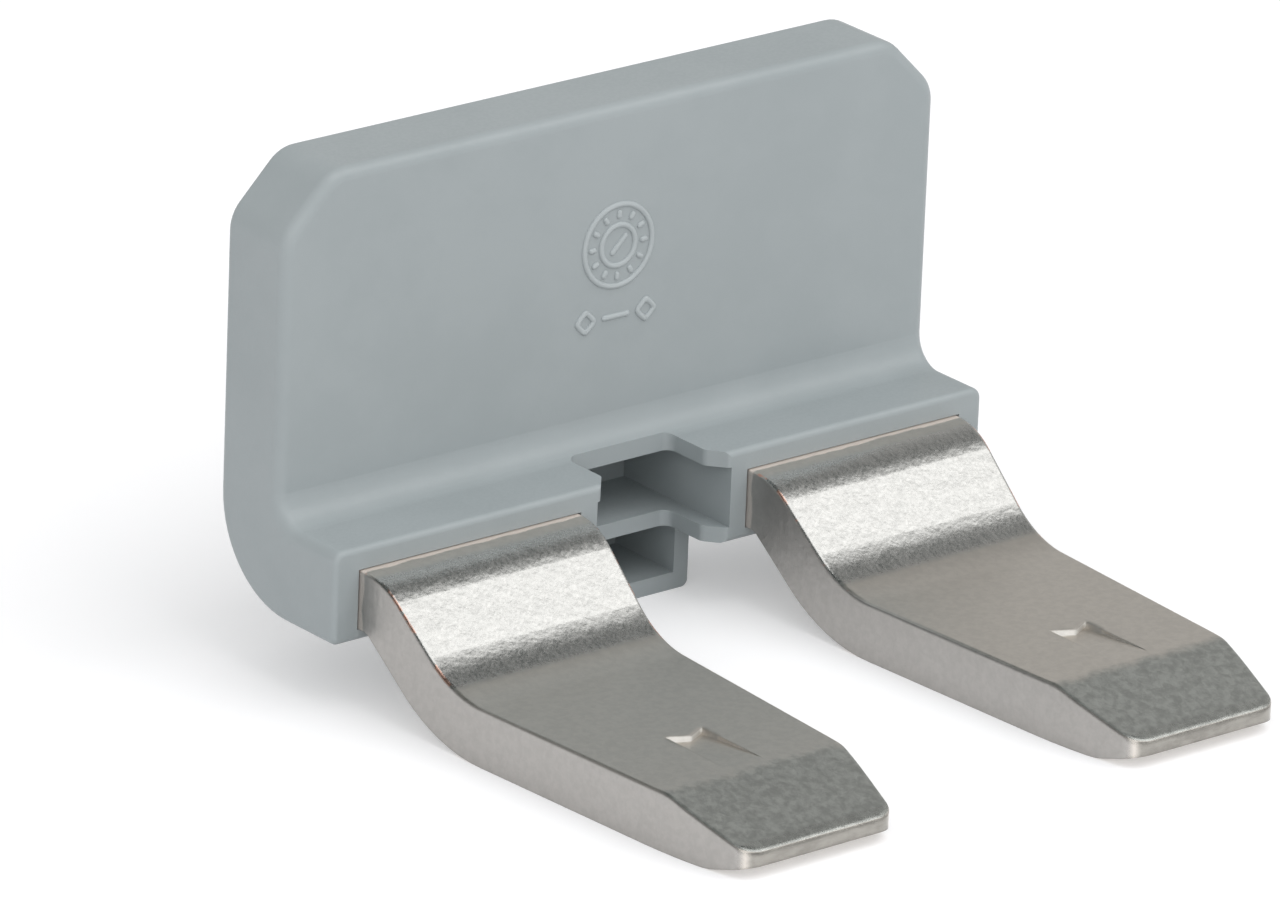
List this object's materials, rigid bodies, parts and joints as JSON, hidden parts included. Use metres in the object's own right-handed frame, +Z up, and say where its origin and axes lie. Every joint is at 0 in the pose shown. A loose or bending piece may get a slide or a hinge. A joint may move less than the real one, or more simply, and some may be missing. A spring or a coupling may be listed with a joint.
{
  "type": "terminal block jumper bar",
  "caption": "Insulated jumper that bridges two neighbouring rail-mounted terminal blocks: bent tinned copper blades under a moulded grip plate.",
  "frame": {"origin": "middle of the bounding box in X and Y, on the plane that the blades and the socket box rest on", "axes": "+X across the two terminal blocks, -Y the way the blades point, +Z up the grip plate"},
  "size_m": [0.027, 0.024, 0.0172],
  "materials": {
    "grey_polyamide": "fine matt moulded surface, cool light grey",
    "tinned_copper": "satin tin plating with a fine mottle, bright on the bends and grainy on the bevels"
  },
  "bodies": {
    "root": {"insulating_housing": "grey_polyamide", "contact_bar": "tinned_copper"}
  },
  "joints": []
}
